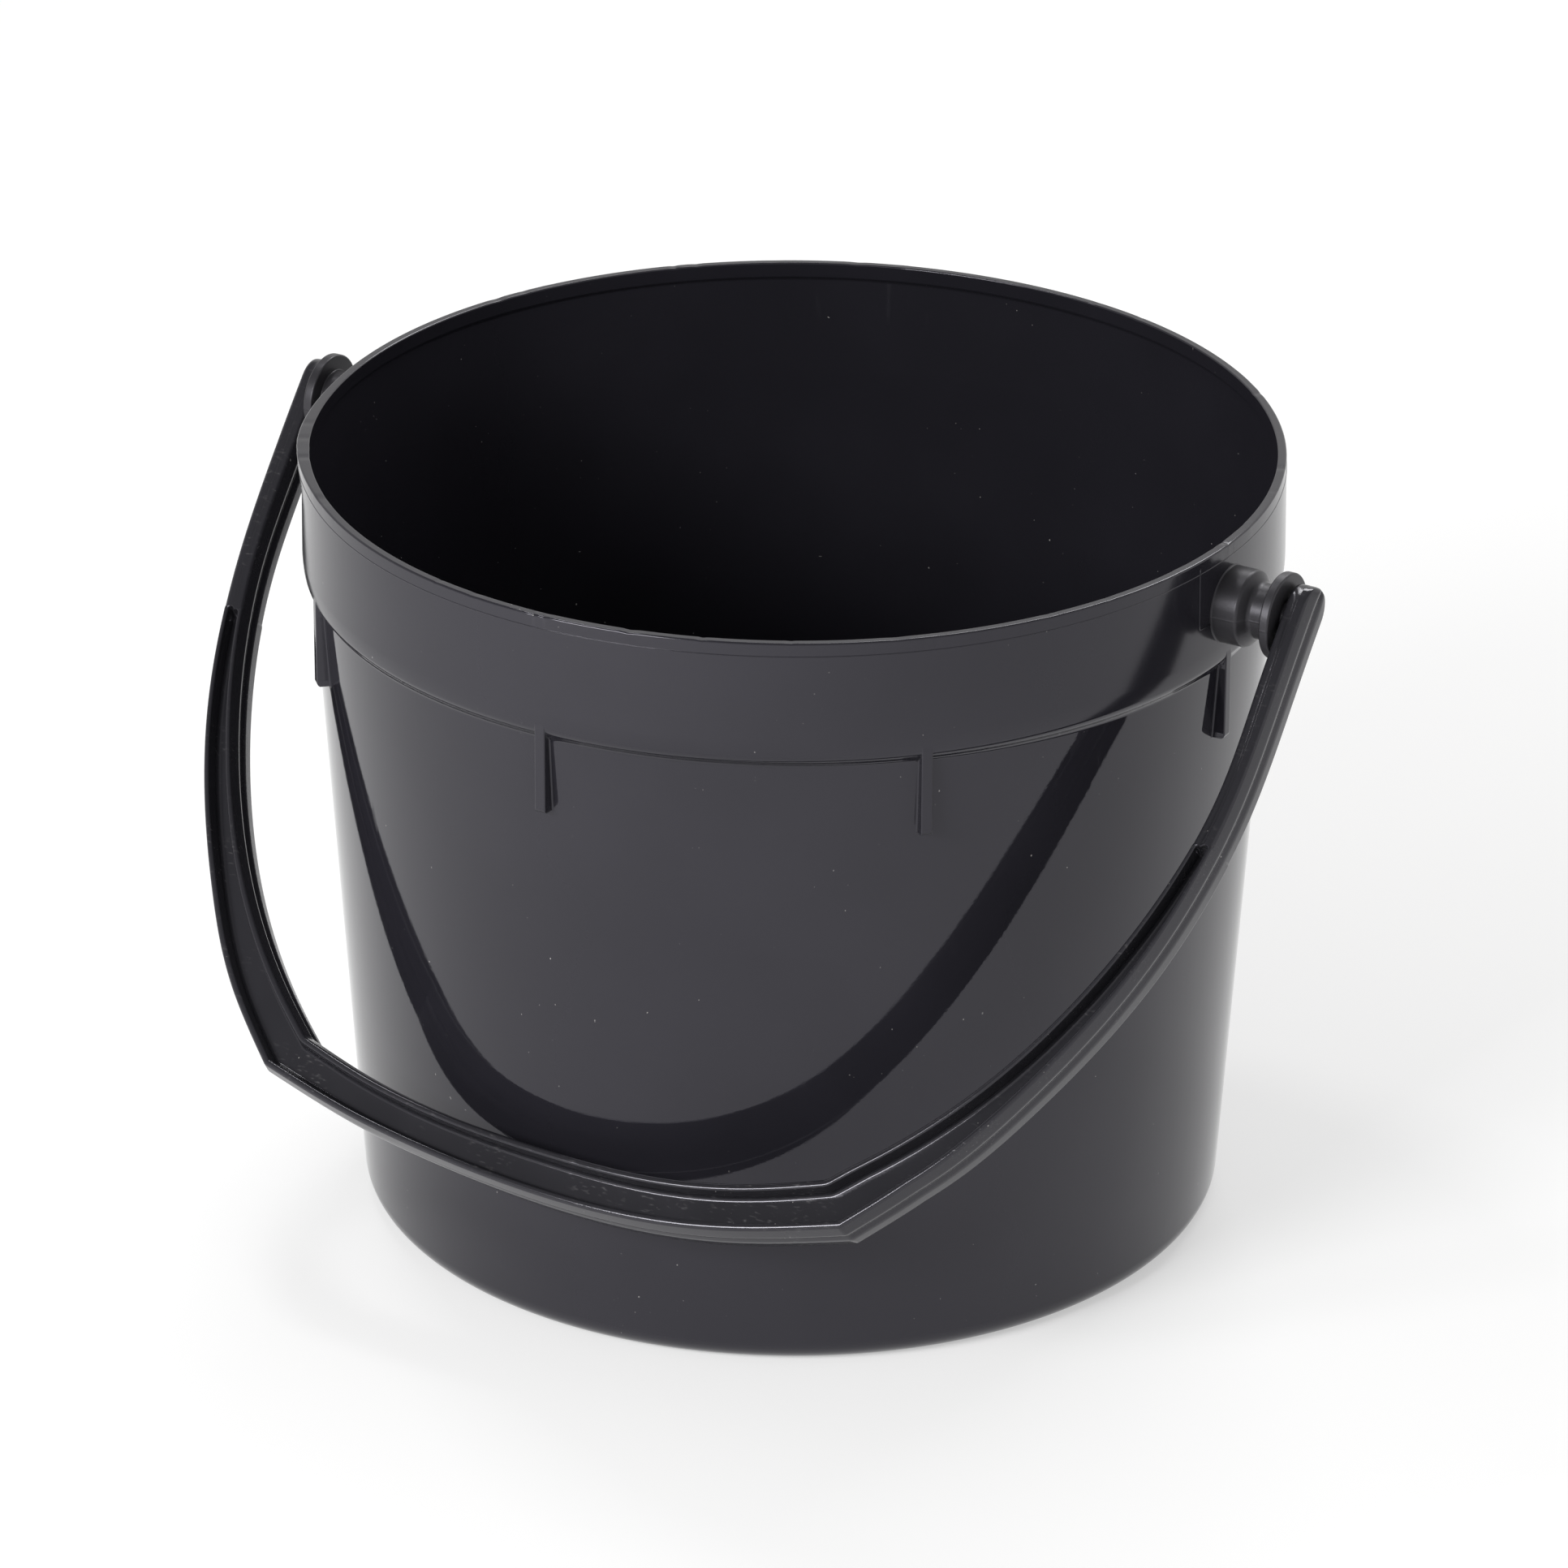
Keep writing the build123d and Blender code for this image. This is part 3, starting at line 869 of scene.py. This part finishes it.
def plastic(name, base, rough, grain_h, worn, band=0.0, scuffs=0.0):
    """Moulded black polypropylene with slow colour change, dust specks and fine wear.

    rough is the range of roughness, grain_h the grain's height in metres and worn the roughness that
    marks add; band is the extra roughness of the tub's band, and scuffs how pale scuffs are.
    """
    material, nodes, links, shader = new_material(name)
    where = nodes.new("ShaderNodeTexCoord").outputs["Object"]
    cloud = ramp(nodes, links, noise(nodes, links, where, *CLOUDS), *CLOUD_RANGE, 0, 1)
    colour = mix_colour(nodes, links, cloud, base, tuple(c * CLOUD_LIGHTER for c in base))
    specks = ramp(nodes, links, noise(nodes, links, where, *SPECKS), *SPECK_RANGE, 0, 1)
    patches = ramp(nodes, links, noise(nodes, links, where, *PATCHES), *PATCH_RANGE, 0, 1)
    specks = combine(nodes, links, "MULTIPLY", specks, patches)
    colour = mix_colour(nodes, links, specks, colour, DUST)
    marks = fine_marks(nodes, links, where, *(SCUFFS if scuffs else HAIRLINES))
    marks = combine(nodes, links, "MULTIPLY", marks, patches)
    colour = mix_colour(nodes, links, combine(nodes, links, "MULTIPLY", marks, scuffs), colour, DUST)
    spread = ramp(nodes, links, noise(nodes, links, where, *GLOSS), *GLOSS_RANGE, *rough)
    wear = combine(nodes, links, "MULTIPLY", marks, worn)
    roughness = combine(nodes, links, "ADD", spread, wear)
    if band:
        split = nodes.new("ShaderNodeSeparateXYZ")
        links.new(where, split.inputs["Vector"])
        duller = ramp(nodes, links, split.outputs["Z"], *BAND_DULL_Z, 0, band)
        roughness = combine(nodes, links, "ADD", roughness, duller)
    links.new(colour, shader.inputs["Base Color"])
    links.new(roughness, shader.inputs["Roughness"])
    grain = noise(nodes, links, where, *GRAIN)
    slow = noise(nodes, links, where, *SLOW_WAVES)
    bump(nodes, links, [(grain, grain_h), (slow, grain_h * 2)], shader)
    shader.inputs["IOR"].default_value = IOR
    shader.inputs["Specular Tint"].default_value = SHEEN_TINT
    return material


def floor_material():
    """Pale matt floor that gives off a little light."""
    material, nodes, links, shader = new_material("studio_floor")
    where = nodes.new("ShaderNodeTexCoord").outputs["Object"]
    cloud = noise(nodes, links, where, 3, 2)
    darker, lighter = ((grey, grey, grey) for grey in FLOOR_GREYS)
    colour = mix_colour(nodes, links, cloud, darker, lighter)
    links.new(colour, shader.inputs["Base Color"])
    shader.inputs["Roughness"].default_value = 0.9
    shader.inputs["Specular IOR Level"].default_value = 0.1
    shader.inputs["Emission Color"].default_value = (1, 1, 1, 1)
    shader.inputs["Emission Strength"].default_value = FLOOR_GLOW
    return material


# ---------------------------------------------------------------- scene

def add_area(name, place, aim, size, power):
    """Rectangular area light at a place, turned towards a point."""
    light = bpy.data.lights.new(name, "AREA")
    light.shape = "RECTANGLE"
    light.size, light.size_y = size
    light.energy = power
    obj = bpy.data.objects.new(name, light)
    bpy.context.scene.collection.objects.link(obj)
    obj.location = place
    obj.rotation_euler = (Vector(aim) - Vector(place)).to_track_quat("-Z", "Y").to_euler()


def add_camera():
    """Camera at the photograph's viewing angle, level apart from a slight roll."""
    sin_a, cos_a = math.sin(CAM_AZIMUTH), math.cos(CAM_AZIMUTH)
    sin_e, cos_e = math.sin(CAM_ELEVATION), math.cos(CAM_ELEVATION)
    target = Vector((0, 0, CAM_TARGET_Z))
    place = target + CAM_DISTANCE * Vector((cos_e * sin_a, -cos_e * cos_a, sin_e))
    right = Vector((cos_a, sin_a, 0))
    up = Vector((-sin_a * sin_e, cos_a * sin_e, cos_e))
    right, up = (math.cos(CAM_ROLL) * right + math.sin(CAM_ROLL) * up,
                 math.cos(CAM_ROLL) * up - math.sin(CAM_ROLL) * right)
    aim = target + CAM_AIM_RIGHT * right + CAM_AIM_UP * up
    back = (place - aim).normalized()
    right = (right - right.dot(back) * back).normalized()
    up = back.cross(right)
    camera = bpy.data.objects.new("camera", bpy.data.cameras.new("camera"))
    bpy.context.scene.collection.objects.link(camera)
    rows = [(right[i], up[i], back[i], place[i] * MM) for i in range(3)]
    camera.matrix_world = Matrix([*rows, (0, 0, 0, 1)])
    camera.data.sensor_width = SENSOR
    camera.data.lens = CAM_LENS
    camera.data.clip_start = 0.1
    camera.data.clip_end = 50
    bpy.context.scene.camera = camera


def add_floor():
    """Square floor around the origin."""
    mesh = bpy.data.meshes.new("floor")
    corners = [(x * FLOOR_HALF, y * FLOOR_HALF, 0) for x, y in ((-1, -1), (1, -1), (1, 1), (-1, 1))]
    mesh.from_pydata(corners, [], [(0, 1, 2, 3)])
    floor = bpy.data.objects.new("floor", mesh)
    bpy.context.scene.collection.objects.link(floor)
    mesh.materials.append(floor_material())


def add_light():
    """A pale studio, dimmer overhead, on the left and in front, with the area lights of LIGHTS."""
    world = bpy.data.worlds.new("studio")
    world.use_nodes = True
    nodes, links = world.node_tree.nodes, world.node_tree.links
    split = nodes.new("ShaderNodeSeparateXYZ")
    links.new(nodes.new("ShaderNodeTexCoord").outputs["Generated"], split.inputs["Vector"])
    strength = ramp(nodes, links, split.outputs["Y"], *WORLD_Y)
    for axis, brightness in (("Z", WORLD_Z), ("X", WORLD_X)):
        along = ramp(nodes, links, split.outputs[axis], *brightness)
        strength = combine(nodes, links, "MULTIPLY", strength, along)
    links.new(strength, nodes["Background"].inputs["Strength"])
    nodes["Background"].inputs["Color"].default_value = WORLD_COLOUR
    bpy.context.scene.world = world
    for light in LIGHTS:
        add_area(*light)
    bpy.context.scene.view_settings.view_transform = "Standard"


add_camera()
add_floor()
add_light()

tub_look = plastic("tub_plastic", (0.0125, 0.0120, 0.0155), rough=(0.03, 0.055), grain_h=0.000004,
                   worn=0.12, band=0.11)
spool_look = plastic("spool_plastic", (0.0175, 0.0170, 0.0190), rough=(0.32, 0.44), grain_h=0.00002,
                     worn=0.1)
bail_look = plastic("bail_plastic", (0.0160, 0.0157, 0.0185), rough=(0.09, 0.17), grain_h=0.00001,
                    worn=0.2, scuffs=0.08)

insert_lines = [(insert_line(side, INSERT_CORNER, end), 0) for side in (1, -1) for end in INSERT_ENDS]
tub = make_object("tub", [(tub_shell(), 0), (spool_shell(1), 1), (spool_shell(-1), 1), *insert_lines],
                  [tub_look, spool_look])
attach(tub, "tub")
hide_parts("bucket_body")

bail = make_object("bail", [(bail_shell(), 0), (peg_shell(1), 0), (peg_shell(-1), 0)], [bail_look])
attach(bail, "bail")
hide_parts("bail_handle")
